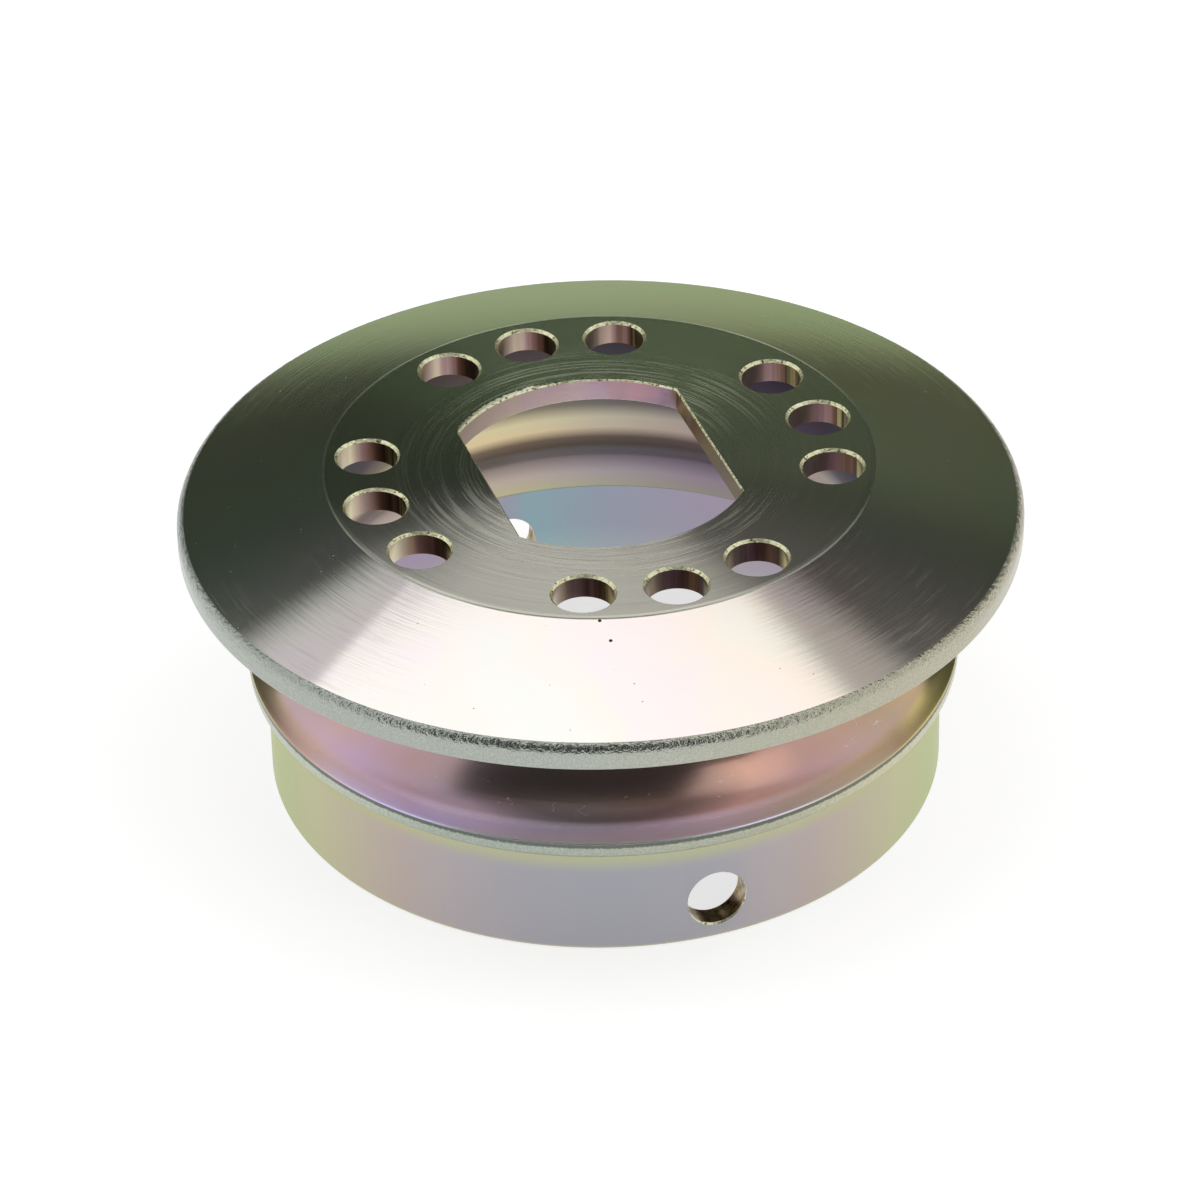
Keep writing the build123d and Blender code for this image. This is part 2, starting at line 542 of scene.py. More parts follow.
turned_position = turned_position_effect()
turning_marks = turning_marks_effect()
wrinkles = wrinkles_effect()
handling_marks = handling_marks_effect()


def turned_lines(tree, place, across, spacing, length):
    """Turning marks of one surface, across its "Radius" or its "Height"."""
    inputs = {
        "Across": place[across],
        "Around": place["Around"],
        "Spacing": spacing,
        "Length": length,
    }
    return place_effect(tree, turning_marks, inputs)["Marks"]


def mottling(tree, place, size, detail=2.0):
    """Wrinkles of one surface."""
    inputs = {"Point": place["Point"], "Size": size, "Detail": detail}
    return place_effect(tree, wrinkles, inputs)["Height"]


# Finishes. Radii, heights and sizes in them are in millimetres, and reliefs in micrometres.

# Direction of the camera's right, from which the key panel's light falls. Colours tinted warmer
# towards it carry a painted warm tint of that light.
camera_right_side = (0.95, -0.31, 0.0)
# Colour of bare lines and edges, where the film is worn off; along the crisp edge of the shim face
# it is partly a painted highlight.
worn_and_edge_highlight_colour = (0.66, 0.69, 0.55, 1)

foot = pulley_foot / MM
plate_underside = -shim_face_thickness / MM
shim_edge_radius = shim_face_radius / MM
bore_edge = drive_bore_radius / MM
bore_flat = drive_bore_half_flats / MM
lip_top = lip_top_height / MM
lip_bottom = lip_bottom_height / MM


def zinc_finish(name, roughness=0.3, anisotropy=0.0, grazing=(1.0, 1.0, 1.0)):
    """Plated steel: a metal shader with the place on the pulley that its nodes read."""
    material = bpy.data.materials.new(name)
    material.use_nodes = True
    tree = material.node_tree
    shader = tree.nodes["Principled BSDF"].inputs
    shader["Metallic"].default_value = 1.0
    shader["Roughness"].default_value = roughness
    shader["Anisotropic"].default_value = anisotropy
    shader["Anisotropic Rotation"].default_value = 0.25
    shader["Specular Tint"].default_value = (*grazing, 1)
    return material, tree, shader, place_effect(tree, turned_position)


def relief(tree, shader, height):
    """Bumps a finish by a height in micrometres."""
    normal = build(tree, "Bump", {"Strength": 1.0, "Distance": 1e-6, "Height": height}).outputs[0]
    tree.links.new(normal, shader["Normal"])
    return normal


def towards_camera_right(tree, around):
    """How far a direction points to the camera's right, from -1 to 1."""
    inputs = {0: around, 1: camera_right_side}
    return build(tree, "VectorMath", inputs, operation="DOT_PRODUCT").outputs["Value"]


def aside_of_camera(tree, around):
    """How far a direction points to either side, left or right of the camera, from 0 to 1."""
    return maths(tree, "ABSOLUTE", towards_camera_right(tree, around))


def film_colour(tree, stops, normal=None):
    """Colour of the passivation film by how steeply it is seen, as a thin film has."""
    weight = build(tree, "LayerWeight", {"Blend": 0.5})
    if normal:
        tree.links.new(normal, weight.inputs["Normal"])
    return ramp(tree, weight.outputs["Facing"], stops)


def warmed_to_the_right(tree, colour, around, right_tint):
    """Tints a colour warmer towards the camera's right: a painted warm tint of the key panel's
    light.
    """
    rightward = spread(tree, towards_camera_right(tree, around), -0.3, 0.8, 0.0, 1.0)
    return blend(tree, rightward, colour, (*right_tint, 1), "MULTIPLY")


def shim_face_finish():
    material, tree, shader, place = zinc_finish(
        "turned_shim_face", anisotropy=1.0, grazing=(0.75, 1.0, 0.6)
    )
    radius, around, point = place["Radius"], place["Around"], place["Point"]
    fine = turned_lines(tree, place, "Radius", 0.35, 12.0)
    coarse = turned_lines(tree, place, "Radius", 0.6, 12.0)
    lines = turned_lines(tree, place, "Radius", 0.3, 14.0)
    near_bore = spread(tree, radius, 22.0, 31.0, 1.0, 0.15)
    scored = product(tree, spread(tree, lines, 0.5, 0.62, 0.0, 0.42), near_bore)
    # The light band along the edge is partly wear and partly a painted highlight of the edge.
    edge = spread(tree, radius, shim_edge_radius - 0.25, shim_edge_radius - 0.05, 0.0, 0.8)
    dull = maths(tree, "MAXIMUM", scored, edge)

    # The face mirrors the studio as a shallow cone does, a little off the middle.
    dish_middle, dish_angle = (-3.6, 1.2, 0.0), math.radians(13.1)
    dish = product(tree, distance(tree, point, dish_middle), -1000.0 * math.tan(dish_angle))
    edge_fall = spread(tree, radius, shim_edge_radius - 0.8, shim_edge_radius, 0.0, -60.0)
    arcs = product(tree, coarse, near_bore, 26.0)
    height = total(tree, product(tree, fine, 9.0), arcs, dish, edge_fall)
    normal = relief(tree, shader, height)
    film = film_colour(
        tree,
        [
            (0.22, (0.54, 0.52, 0.46)),
            (0.34, (0.53, 0.52, 0.46)),
            (0.44, (0.47, 0.54, 0.37)),
            (0.62, (0.44, 0.52, 0.34)),
        ],
        normal,
    )
    # Painted warm tint of the key panel's light, towards the camera's right.
    film = warmed_to_the_right(tree, film, around, (1.0, 0.97, 0.95))
    tint = ramp(tree, coarse, [(0.3, (0.9, 0.9, 0.9)), (0.7, (1.0, 1.0, 1.0))])
    film = blend(tree, 1.0, film, tint, "MULTIPLY")
    film = blend(tree, dull, film, worn_and_edge_highlight_colour)

    # A ragged burr hangs on the bore's far arc. Its shadow is painted dark all along it, and its
    # highlight is painted light on its left part.
    parts = build(tree, "SeparateXYZ", {0: point}).outputs
    reach = maths(tree, "SUBTRACT", radius, product(tree, mottling(tree, place, 0.5, 3.0), 1.6))
    across = maths(tree, "ABSOLUTE", parts["X"])
    between_flats = spread(tree, across, bore_flat - 0.2, bore_flat, 1.0, 0.0)
    on_arc = product(tree, between_flats, maths(tree, "GREATER_THAN", parts["Y"], 0.0))
    lit_side = spread(tree, parts["X"], -3.0, -1.0, 1.0, 0.0)
    highlight_reach = spread(tree, reach, bore_edge - 0.25, bore_edge - 0.1, 1.0, 0.0)
    burr_highlight = product(tree, highlight_reach, on_arc, lit_side)
    shadow_reach = spread(tree, reach, bore_edge - 0.5, bore_edge - 0.4, 1.0, 0.0)
    burr_shadow = product(tree, shadow_reach, on_arc)
    film = blend(tree, burr_shadow, film, (0.05, 0.05, 0.04, 1))
    film = blend(tree, burr_highlight, film, (0.98, 0.96, 0.78, 1))
    dull = maths(tree, "MAXIMUM", dull, burr_highlight)
    tree.links.new(spread(tree, dull, 0.0, 1.0, 0.22, 0.6), shader["Roughness"])
    tree.links.new(film, shader["Base Color"])
    return material


def belt_cone_finish():
    material, tree, shader, place = zinc_finish(
        "turned_belt_cone", anisotropy=1.0, grazing=(0.60, 0.58, 0.50)
    )
    radius, around = place["Radius"], place["Around"]
    fine = turned_lines(tree, place, "Radius", 0.3, 12.0)
    coarse = turned_lines(tree, place, "Radius", 0.45, 6.0)
    lines = turned_lines(tree, place, "Radius", 0.35, 4.0)
    aside = aside_of_camera(tree, around)
    depth = spread(tree, aside, 0.35, 0.6, 2.5, 13.0)
    height = total(tree, product(tree, fine, 3.5), product(tree, coarse, depth))
    normal = relief(tree, shader, height)
    film = film_colour(
        tree,
        [
            (0.20, (0.80, 0.75, 0.73)),
            (0.29, (0.79, 0.75, 0.75)),
            (0.37, (0.68, 0.77, 0.67)),
            (0.45, (0.60, 0.76, 0.52)),
            (0.60, (0.58, 0.70, 0.46)),
            (0.75, (0.36, 0.50, 0.27)),
        ],
        normal,
    )
    # Painted warm tint of the key panel's light, towards the camera's right.
    film = warmed_to_the_right(tree, film, around, (0.97, 0.92, 0.84))
    patches = noise(tree, place["Point"], 0.05)[0]
    tint = ramp(
        tree,
        patches,
        [(0.35, (1.0, 0.95, 1.0)), (0.5, (1.0, 0.98, 0.94)), (0.65, (0.94, 1.0, 0.98))],
    )
    film = blend(tree, 1.0, film, tint, "MULTIPLY")
    handled = {"Point": place["Point"], "Size": 2.0, "Amount": 0.3}
    specks = place_effect(tree, handling_marks, handled)["Specks"]
    scored = spread(tree, lines, 0.5, 0.68, 0.0, spread(tree, aside, 0.35, 0.7, 0.04, 0.17))
    # The light band along the edge is partly wear and partly a painted highlight of the edge.
    edge = spread(tree, radius, shim_edge_radius, shim_edge_radius + 0.2, 0.8, 0.0)
    dull = maths(tree, "MAXIMUM", maths(tree, "MAXIMUM", scored, specks), edge)
    tree.links.new(spread(tree, dull, 0.0, 1.0, 0.14, 0.6), shader["Roughness"])
    film = blend(tree, dull, film, worn_and_edge_highlight_colour)

    # Two small pits at the front of the cone
    for pit_place in ((-11.2, -37.4, -1.0), (-11.5, -34.1, -0.1)):
        pit = spread(tree, distance(tree, place["Point"], pit_place), 0.16, 0.3, 1.0, 0.0)
        film = blend(tree, pit, film, (0.02, 0.02, 0.02, 1))
    tree.links.new(film, shader["Base Color"])
    return material


def pressed_skin(tree, shader, place, size, height, dark, light):
    """Mottled skin left by pressing or rolling, in relief and in colour, with a painted warm tint
    towards the camera's right.
    """
    coarse = mottling(tree, place, size, 3.0)
    fine = mottling(tree, place, 0.4 * size)
    skin = total(tree, coarse, product(tree, fine, 0.35))
    relief(tree, shader, product(tree, skin, height))
    colour = ramp(tree, fine, [(0.35, dark), (0.65, light)])
    # Painted warm tint of the key panel's light, towards the camera's right.
    return warmed_to_the_right(tree, colour, place["Around"], (1.14, 1.02, 0.86))


def rolled_rim_finish():
    material, tree, shader, place = zinc_finish("rolled_rim", 0.22)
    height = spread(tree, place["Height"], -7.8, -6.6, 60.0, 240.0)
    colour = pressed_skin(tree, shader, place, 0.6, height, (0.35, 0.38, 0.34), (0.43, 0.46, 0.42))
    tree.links.new(colour, shader["Base Color"])
    return material


def waist_finish():
    material, tree, shader, place = zinc_finish("necked_waist")
    height, around = place["Height"], place["Around"]
    marks = turned_lines(tree, place, "Height", 0.8, 12.0)
    relief(tree, shader, product(tree, marks, 8.0))
    # Film colours by how steeply the groove is seen: one set for the camera's left and one for its
    # right. The right set's warmer oranges are a painted tint of the key panel's light.
    left_film = film_colour(
        tree,
        [
            (0.03, (0.33, 0.26, 0.25)),
            (0.07, (0.45, 0.34, 0.36)),
            (0.14, (0.48, 0.315, 0.32)),
            (0.21, (0.54, 0.36, 0.42)),
            (0.28, (0.60, 0.40, 0.38)),
            (0.37, (0.54, 0.38, 0.34)),
            (0.52, (0.54, 0.46, 0.25)),
            (0.75, (0.46, 0.46, 0.25)),
        ],
    )
    right_film = film_colour(
        tree,
        [
            (0.03, (0.40, 0.25, 0.20)),
            (0.07, (0.62, 0.36, 0.27)),
            (0.14, (0.51, 0.31, 0.27)),
            (0.21, (0.53, 0.345, 0.27)),
            (0.30, (0.49, 0.35, 0.22)),
            (0.37, (0.565, 0.39, 0.20)),
            (0.52, (0.52, 0.46, 0.20)),
            (0.75, (0.46, 0.46, 0.22)),
        ],
    )
    low_left_film = film_colour(
        tree,
        [
            (0.05, (0.82, 0.74, 1.00)),
            (0.11, (0.70, 0.60, 0.84)),
            (0.15, (0.60, 0.47, 0.64)),
            (0.21, (0.62, 0.44, 0.53)),
            (0.28, (0.63, 0.425, 0.38)),
            (0.36, (0.52, 0.365, 0.28)),
            (0.45, (0.52, 0.45, 0.24)),
            (0.60, (0.50, 0.47, 0.24)),
        ],
    )
    low_right_film = film_colour(
        tree,
        [
            (0.05, (0.82, 0.74, 0.94)),
            (0.11, (0.68, 0.55, 0.62)),
            (0.15, (0.58, 0.45, 0.40)),
            (0.21, (0.54, 0.40, 0.28)),
            (0.28, (0.44, 0.31, 0.19)),
            (0.36, (0.72, 0.60, 0.24)),
            (0.45, (0.56, 0.52, 0.22)),
            (0.60, (0.50, 0.48, 0.22)),
        ],
    )
    right_share = spread(tree, towards_camera_right(tree, around), -0.3, 0.55, 0.0, 1.0)
    low = spread(tree, height, -25.8, -25.0, 1.0, 0.0)
    upper = blend(tree, right_share, left_film, right_film)

    # Low in the groove the metal mirrors the flange's lit underside. Painted shade darkens the
    # colour there where it faces us, and lightens it, bluer, where it is seen aslant.
    shade = film_colour(
        tree,
        [
            (0.03, (0.40, 0.42, 0.50)),
            (0.08, (0.92, 0.96, 1.16)),
            (0.14, (1.02, 1.06, 1.25)),
        ],
    )
    under_flange = spread(tree, height, -24.9, -22.6, 1.0, 0.0)
    upper = blend(tree, under_flange, upper, shade, "MULTIPLY")
    lower = blend(tree, right_share, low_left_film, low_right_film)
    colour = blend(tree, low, upper, lower)

    handled = {"Point": place["Point"], "Size": 2.2, "Amount": 0.38}
    nicks = place_effect(tree, handling_marks, handled)["Nicks"]
    off_rubbed_ring = maths(tree, "ABSOLUTE", total(tree, height, 23.4))
    scratch = product(tree, nicks, spread(tree, off_rubbed_ring, 0.5, 1.7, 0.65, 0.0))
    colour = blend(tree, scratch, colour, (0.9, 0.85, 0.85, 1))

    aside = aside_of_camera(tree, around)
    # A painted lighter, bluer reflection on the band just above the lip, at the front and back as
    # the camera sees them.
    above_lip = spread(tree, height, -26.5, -25.8, 1.0, 0.0)
    painted_light_above_lip = product(tree, above_lip, spread(tree, aside, 0.72, 0.86, 1.0, 0.0))
    colour = blend(tree, painted_light_above_lip, colour, (1.12, 1.3, 1.5, 1), "MULTIPLY")
    tree.links.new(colour, shader["Base Color"])

    end_on = spread(tree, aside, 0.65, 0.92, 1.0, 0.8)
    roughness = product(tree, spread(tree, height, -26.2, -25.2, 0.33, 0.21), end_on)
    roughness = total(tree, roughness, product(tree, scratch, 0.3))
    tree.links.new(roughness, shader["Roughness"])
    return material


def lip_finish():
    material, tree, shader, place = zinc_finish("seating_lip", 0.25)
    colour = pressed_skin(tree, shader, place, 0.7, 60.0, (0.33, 0.37, 0.32), (0.41, 0.45, 0.40))
    # The left and right sides, as the camera sees them, are painted lighter.
    aside = spread(tree, aside_of_camera(tree, place["Around"]), 0.4, 0.8, 0.0, 1.0)
    colour = blend(tree, aside, colour, (1.35, 1.3, 1.28, 1), "MULTIPLY")
    # A dark line along the top edge is a painted dark reflection in its rounding.
    height = total(tree, place["Height"], product(tree, mottling(tree, place, 0.3), 0.5))
    dark_reflection_on_top_edge = spread(tree, height, lip_top - 0.5, lip_top - 0.3, 0.0, 0.75)
    colour = blend(tree, dark_reflection_on_top_edge, colour, (0.05, 0.06, 0.05, 1))
    tree.links.new(colour, shader["Base Color"])
    return material


def skirt_finish():
    material, tree, shader, place = zinc_finish("skirt", 0.32, 0.6, (0.85, 0.9, 0.65))
    colour = film_colour(
        tree,
        [
            (0.20, (0.34, 0.36, 0.41)),
            (0.33, (0.44, 0.40, 0.42)),
            (0.41, (0.49, 0.41, 0.39)),
            (0.51, (0.53, 0.47, 0.38)),
            (0.64, (0.56, 0.54, 0.39)),
            (0.80, (0.52, 0.55, 0.38)),
        ],
    )
    marks = turned_lines(tree, place, "Height", 0.5, 14.0)
    relief(tree, shader, product(tree, marks, 4.0))
    # A yellow-green band below the lip: partly the film's own colour there and partly a painted
    # reflection of dark.
    below_lip = spread(tree, place["Height"], lip_bottom - 4.2, lip_bottom - 1.6, 0.0, 0.7)
    colour = blend(tree, below_lip, colour, (0.50, 0.52, 0.28, 1))
    tree.links.new(colour, shader["Base Color"])
    return material


def inside_finish():
    material, tree, shader, place = zinc_finish("inside", 0.28)
    height = maths(tree, "DIVIDE", total(tree, place["Height"], -foot), plate_underside - foot)
    # The bands by height are painted reflections: dark where the inner walls mirror dark, cream
    # where they mirror light.
    colour = ramp(
        tree,
        height,
        [
            (0.00, (0.48, 0.56, 0.55)),
            (0.18, (0.38, 0.43, 0.52)),
            (0.33, (0.38, 0.42, 0.52)),
            (0.345, (0.46, 0.46, 0.32)),
            (0.41, (0.46, 0.40, 0.42)),
            (0.49, (0.18, 0.15, 0.18)),
            (0.56, (0.075, 0.055, 0.045)),
            (0.60, (0.15, 0.11, 0.09)),
            (0.645, (0.64, 0.54, 0.40)),
            (0.69, (0.60, 0.56, 0.42)),
            (0.74, (0.22, 0.20, 0.18)),
            (0.80, (0.12, 0.10, 0.12)),
            (1.00, (0.07, 0.06, 0.07)),
        ],
    )
    # The hues to the camera's left and right are painted reflection colours too.
    rightward = spread(tree, towards_camera_right(tree, place["Around"]), -0.5, 0.5, 0.0, 1.0)
    skirt_hue = ramp(
        tree,
        rightward,
        [
            (0.04, (1.22, 0.90, 0.96)),
            (0.16, (0.87, 1.14, 1.04)),
            (0.50, (1.0, 1.0, 1.0)),
            (1.00, (1.18, 0.92, 0.97)),
        ],
    )
    waist_hue = ramp(
        tree,
        rightward,
        [
            (0.00, (1.42, 1.35, 1.08)),
            (0.50, (1.0, 1.0, 1.0)),
            (1.00, (0.74, 0.68, 0.82)),
        ],
    )
    hue = blend(tree, spread(tree, height, 0.34, 0.36, 0.0, 1.0), skirt_hue, waist_hue)
    tree.links.new(blend(tree, 1.0, colour, hue, "MULTIPLY"), shader["Base Color"])
    marks = product(tree, turned_lines(tree, place, "Height", 1.2, 8.0), 8.0)
    grain = product(tree, mottling(tree, place, 0.6), 18.0)
    relief(tree, shader, total(tree, marks, grain))
    return material


def across_peg_hole(tree, point):
    """How far a point of a peg hole's wall lies to the camera's right, from -1 to 1."""
    parts = build(tree, "SeparateXYZ", {0: point}).outputs
    pitch = math.radians(peg_pitch)
    circle = peg_circle_radius / MM
    angle = maths(tree, "ARCTAN2", parts["Y"], parts["X"])
    turn = product(tree, maths(tree, "ROUND", maths(tree, "DIVIDE", angle, pitch)), pitch)
    along_x = product(tree, maths(tree, "COSINE", turn), circle)
    along_y = product(tree, maths(tree, "SINE", turn), circle)
    centre = build(tree, "CombineXYZ", {0: along_x, 1: along_y}).outputs[0]
    offset = build(tree, "VectorMath", {0: point, 1: centre}, operation="SUBTRACT").outputs[0]
    return maths(tree, "DIVIDE", towards_camera_right(tree, offset), peg_hole_radius / MM)


def peg_hole_wall_finish():
    material, tree, shader, place = zinc_finish("peg_hole_wall")
    streak = spread(tree, noise(tree, place["Around"], 30.0)[0], 0.3, 0.7, 0.38, 0.62)
    across = total(tree, product(tree, across_peg_hole(tree, place["Point"]), 0.5), streak)
    # Each wall is painted light, cream, on its left part and painted dark to black on its right, as
    # light falls into the hole.
    colour = ramp(
        tree,
        across,
        [
            (0.05, (0.97, 0.92, 0.64)),
            (0.25, (0.88, 0.74, 0.53)),
            (0.48, (0.56, 0.36, 0.36)),
            (0.68, (0.26, 0.15, 0.11)),
            (0.85, (0.07, 0.05, 0.03)),
            (0.98, (0.50, 0.46, 0.20)),
        ],
    )
    tree.links.new(colour, shader["Base Color"])
    return material


def side_hole_wall_finish():
    material, tree, shader, place = zinc_finish("side_hole_wall")
    colour = ramp(
        tree,
        noise(tree, place["Point"], 0.8)[0],
        [
            (0.35, (0.10, 0.07, 0.04)),
            (0.50, (0.34, 0.26, 0.12)),
            (0.66, (0.52, 0.42, 0.30)),
        ],
    )
    tree.links.new(colour, shader["Base Color"])
    return material


def bore_wall_finish():
    material, tree, shader, place = zinc_finish("bore_wall")
    shift = spread(tree, mottling(tree, place, 5.0), 0.3, 0.7, -0.15, 0.15)
    side = total(tree, towards_camera_right(tree, place["Around"]), shift)
    # The wall is painted light, cream, on its left and dark on its right, as light falls into the
    # bore, with pinks between.
    colour = ramp(
        tree,
        spread(tree, side, -1.0, 1.0, 0.0, 1.0),
        [
            (0.05, (0.97, 0.86, 0.60)),
            (0.25, (0.93, 0.74, 0.68)),
            (0.45, (0.90, 0.62, 0.76)),
            (0.60, (0.88, 0.56, 0.62)),
            (0.82, (0.60, 0.45, 0.58)),
            (0.93, (0.30, 0.22, 0.10)),
        ],
    )
    tree.links.new(colour, shader["Base Color"])
    relief(tree, shader, product(tree, mottling(tree, place, 0.5), 12.0))
    return material


def hole_mouth_finish():
    material, tree, shader, place = zinc_finish("hole_mouth", 0.42)
    rough = mottling(tree, place, 0.45, 3.0)
    relief(tree, shader, product(tree, rough, 120.0))
    colour = ramp(
        tree,
        rough,
        [
            (0.33, (0.08, 0.08, 0.04)),
            (0.42, (0.74, 0.74, 0.44)),
            (0.60, (0.93, 0.92, 0.66)),
        ],
    )
    tree.links.new(colour, shader["Base Color"])
    return material


shim_face = shim_face_finish()
belt_cone = belt_cone_finish()
rolled_rim = rolled_rim_finish()
waist = waist_finish()
seating_lip = lip_finish()
skirt = skirt_finish()
inside = inside_finish()
peg_hole_wall = peg_hole_wall_finish()
side_hole_wall = side_hole_wall_finish()
bore_wall = bore_wall_finish()
hole_mouth = hole_mouth_finish()
finishes = [shim_face, belt_cone, rolled_rim, waist, seating_lip, skirt, inside]


def finish_of(face):
    """Finish of one face of the turned body, by where it is and how it faces."""
    centre = face.calc_center_median()
    radius, height = math.hypot(centre.x, centre.y), centre.z
    outward = (face.normal.x * centre.x + face.normal.y * centre.y) / radius
    upward = face.normal.z
    near = 0.05 * MM
    as_cone = 0.94
    below_waist = lip_bottom_height - 3 * MM
    shoulder_face = upward < -0.5 and radius < skirt_radius - 0.7 * MM
    if radius < shim_face_radius and height > -near:
        return shim_face
    if radius > shim_face_radius and upward > as_cone:
        return belt_cone
    if radius > rim_radius - rim_rounding:
        return rolled_rim
    if outward < -0.3 or (shoulder_face and height < -35 * MM):
        return inside
    if radius < shim_face_radius or (height < below_waist and outward < 0.3):
        return inside
    if height < lip_bottom_height - near:
        return skirt
    if radius > lip_radius - lip_lower_rounding and height < lip_top_height - 2 * near:
        return seating_lip
    if upward < -as_cone:
        return belt_cone
    if outward > 0 or upward > 0.2:
        return waist
    return inside


# Pulley half

body_mesh = turned_body()
for face in body_mesh.faces:
    face.material_index = finishes.index(finish_of(face))
pulley = as_object(body_mesh, "turned_pulley_half", finishes)
cutters = []
for angle in peg_angles:
    turn = Matrix.Rotation(math.radians(angle), 4, "Z")
    matrix = turn @ Matrix.Translation((peg_circle_radius, 0, 0))
    cutters.append(placed(peg_hole_cutter(), matrix, [peg_hole_wall, hole_mouth]))
for side in (1, -1):
    matrix = Matrix.Translation((0, side * skirt_radius, side_hole_height))
    matrix = matrix @ Matrix.Rotation(-side * math.pi / 2, 4, "X")
    cutters.append(placed(side_hole_cutter(), matrix, [side_hole_wall, hole_mouth]))
cutters.append(placed(drive_bore_cutter(), Matrix.Identity(4), [bore_wall, hole_mouth]))
cut(pulley, cutters)
pulley.data.set_sharp_from_angle(angle=math.radians(sharp_edge_angle))
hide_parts("pulley_half")
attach(pulley, "root")


# Studio. Places in it are in metres, with Y away from the camera and Z up.

camera_azimuth = -108.0
camera_elevation = 34.575
camera_roll = -1.272
camera_distance = 0.7384
camera_target = Vector((-0.000295, 0.000096, -0.02178))
camera_lens = 168.57

patch_core = 0.05
patch_reach = 0.28

heading = Matrix.Rotation(math.radians(camera_azimuth + 90.0), 4, "Z")


def facing_matrix(centre, across, upright):
    """Places a flat thing in the studio by its middle and the directions of its sides."""
    across, upright = Vector(across).normalized(), Vector(upright).normalized()
    turn = Matrix((across, upright, across.cross(upright))).transposed().to_4x4()
    return heading @ Matrix.Translation(centre) @ turn


def panel(name, centre, across, upright, width, height, brightness):
    """Evenly lit panel. Its lamp lets mirrored rays through, so a dark card backs it."""
    lamp = bpy.data.lights.new(name, "AREA")
    lamp.shape = "RECTANGLE"
    lamp.size = width
    lamp.size_y = height
    lamp.energy = brightness * width * height * math.pi
    light = bpy.data.objects.new(name, lamp)
    bpy.context.scene.collection.objects.link(light)
    light.matrix_world = facing_matrix(centre, across, upright)
    just_behind = light.matrix_world @ Matrix.Translation((0, 0, 0.002))
    card(name + "_back", just_behind, width, height, 0.0)


def glowing_material(name, colour):
    """Dull material with a white glow, whose strength its user sets."""
    material = bpy.data.materials.new(name)
    material.use_nodes = True
    shader = material.node_tree.nodes["Principled BSDF"].inputs
    shader["Base Color"].default_value = (*colour, 1)
    shader["Roughness"].default_value = 1.0
    shader["Specular IOR Level"].default_value = 0.0
    shader["Emission Color"].default_value = (1, 1, 1, 1)
    return material, material.node_tree, shader


def card(name, place, width, height, shade, patch=None, shadow=False):
    """Card that only mirrors see, which darkens the metal.

    A patch is a lighter place on it, given by its centre and its glow. A card with a shadow also
    keeps the panels' light off what lies behind it.
    """
    mesh = bmesh.new()
    bmesh.ops.create_grid(mesh, x_segments=1, y_segments=1, size=0.5)
    bmesh.ops.scale(mesh, vec=(width, height, 1), verts=mesh.verts[:])
    board = as_object(mesh, name, [])
    board.matrix_world = place
    material, tree, shader = glowing_material(name, (0, 0, 0))
    shader["Emission Strength"].default_value = shade
    if patch:
        (along, upward), glow = patch
        point = build(tree, "TexCoord").outputs["Object"]
        apart = distance(tree, point, (along, upward, 0))
        level = spread(tree, apart, patch_core, patch_reach, glow, shade)
        tree.links.new(level, shader["Emission Strength"])
    board.data.materials.append(material)
    board.visible_camera = False
    board.visible_diffuse = False
    board.visible_transmission = False
    board.visible_shadow = shadow


# Each panel: its middle, the directions of its sides, its width, height and brightness.
panel("overhead_panel", (0.0, 0.106, 0.68), (1, -0.05, 0), (0.05, 1, 0), 1.0, 0.55, 1.4)
panel("left_panel", (-0.5, -0.02, 0.325), (0, 0, 1), (0, 1, 0), 0.69, 0.82, 0.9)
panel("right_panel", (0.5, -0.02, 0.325), (0, 1, 0), (0, 0, 1), 0.82, 0.69, 0.9)
panel("key_panel", (0.292, -0.268, 0.22), (1, 1, 0), (-0.354, 0.354, 0.866), 0.24, 0.22, 1.15)

# Each card: its place, width, height, shade and patch. Those upright stand round the pulley.
back_place = facing_matrix((-0.02, 0.44, 0.37), (1.04, -0.22, 0), (0, 0, 1))
card("back_card", back_place, 1.07, 0.72, 0.056, ((0.13, -0.19), 0.14))
front_place = facing_matrix((0.03, -0.325, 0.4), (1, 0, 0), (0, 0.35, 0.9))
card("front_card", front_place, 0.99, 0.96, 0.07)
left_wing_place = facing_matrix((-0.52, 0.47, 0.37), (0.03, 0.16, 0), (0, 0, 1))
card("left_wing", left_wing_place, 0.18, 0.72, 0.05)
right_wing_place = facing_matrix((0.505, 0.355, 0.37), (0, 0.07, 0), (0, 0, 1))
card("right_wing", right_wing_place, 0.08, 0.72, 0.05)
strip_place = facing_matrix((0.0, 0.481, 0.682), (1, -0.05, 0), (0.05, 1, 0))
card("far_strip", strip_place, 1.0, 0.2, 0.12)

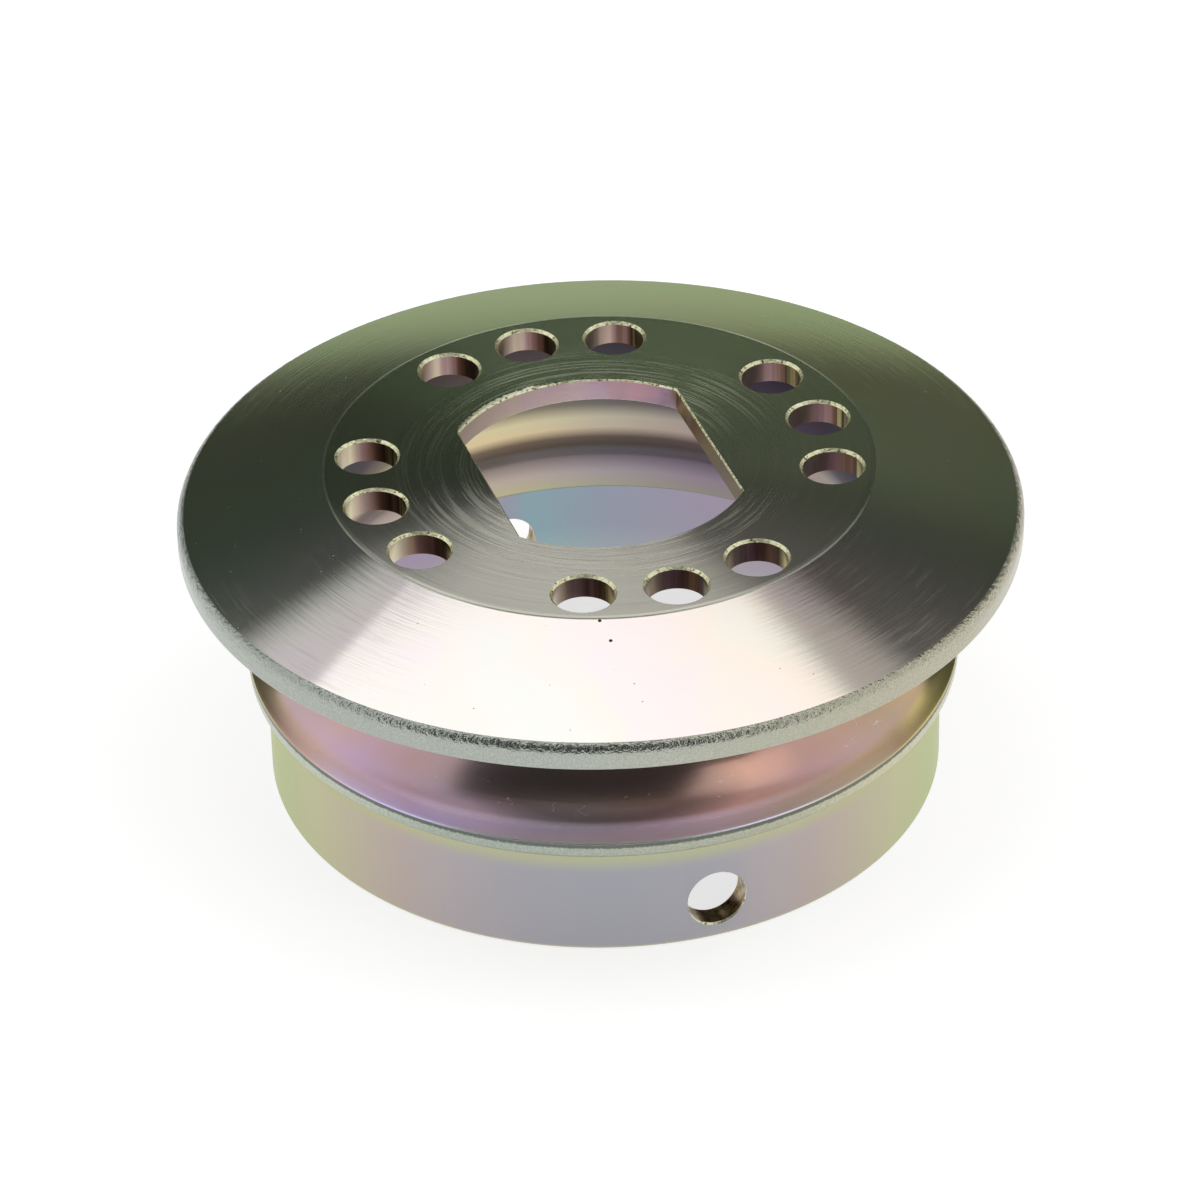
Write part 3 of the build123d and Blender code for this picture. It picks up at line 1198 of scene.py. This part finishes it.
# The flags trim the overhead panel's far corners, where the belt cone's white ends.
left_flag_place = facing_matrix((-0.507, 0.387, 0.672), (1, 1, 0), (-1, 1, 0))
card("left_flag", left_flag_place, 0.6, 0.3, 0.05, ((0.10, -0.10), 0.74), shadow=True)
right_flag_place = facing_matrix((0.432, 0.312, 0.672), (1, -1, 0), (1, 1, 0))
card("right_flag", right_flag_place, 0.6, 0.3, 0.05, ((-0.10, -0.12), 0.60), shadow=True)


def seen_directly(tree):
    """One where the camera, a mirror or a clear thing looks, and nought for soft light."""
    path = tree.nodes.new("ShaderNodeLightPath").outputs
    mirrored = maths(tree, "MAXIMUM", path["Is Glossy Ray"], path["Is Transmission Ray"])
    return maths(tree, "MAXIMUM", path["Is Camera Ray"], mirrored)


world = bpy.data.worlds.new("studio")
bpy.context.scene.world = world
world.use_nodes = True
tree = world.node_tree
backdrop = tree.nodes["Background"]
backdrop.inputs["Color"].default_value = (1, 1, 1, 1)
tree.links.new(spread(tree, seen_directly(tree), 0.0, 1.0, 0.2, 1.0), backdrop.inputs["Strength"])


bpy.ops.mesh.primitive_plane_add(size=6.0, location=(0, 0, pulley_foot))
floor = bpy.context.object
floor.name = "floor"
floor_material, tree, floor_shader = glowing_material("pale_floor", (0.5, 0.5, 0.5))
floor_place = build(tree, "TexCoord").outputs["Object"]
glow = spread(tree, distance(tree, floor_place, nowhere), 0.12, 0.6, 0.7, 1.0)
tree.links.new(product(tree, seen_directly(tree), glow), floor_shader["Emission Strength"])
floor.data.materials.append(floor_material)

camera_data = bpy.data.cameras.new("camera")
camera_data.lens = camera_lens
camera_data.sensor_width = 36.0
camera = bpy.data.objects.new("camera", camera_data)
bpy.context.scene.collection.objects.link(camera)
bpy.context.scene.camera = camera
tilt = math.radians(camera_elevation)
ahead = heading.to_3x3() @ Vector((0, math.cos(tilt), -math.sin(tilt)))
right = heading.to_3x3() @ Vector((1, 0, 0))
upwards = right.cross(ahead)
roll = Matrix.Rotation(math.radians(camera_roll), 3, "Z")
turned = Matrix((right, upwards, -ahead)).transposed() @ roll
camera.matrix_world = Matrix.Translation(camera_target - ahead * camera_distance) @ turned.to_4x4()

bpy.context.scene.view_settings.view_transform = "Standard"
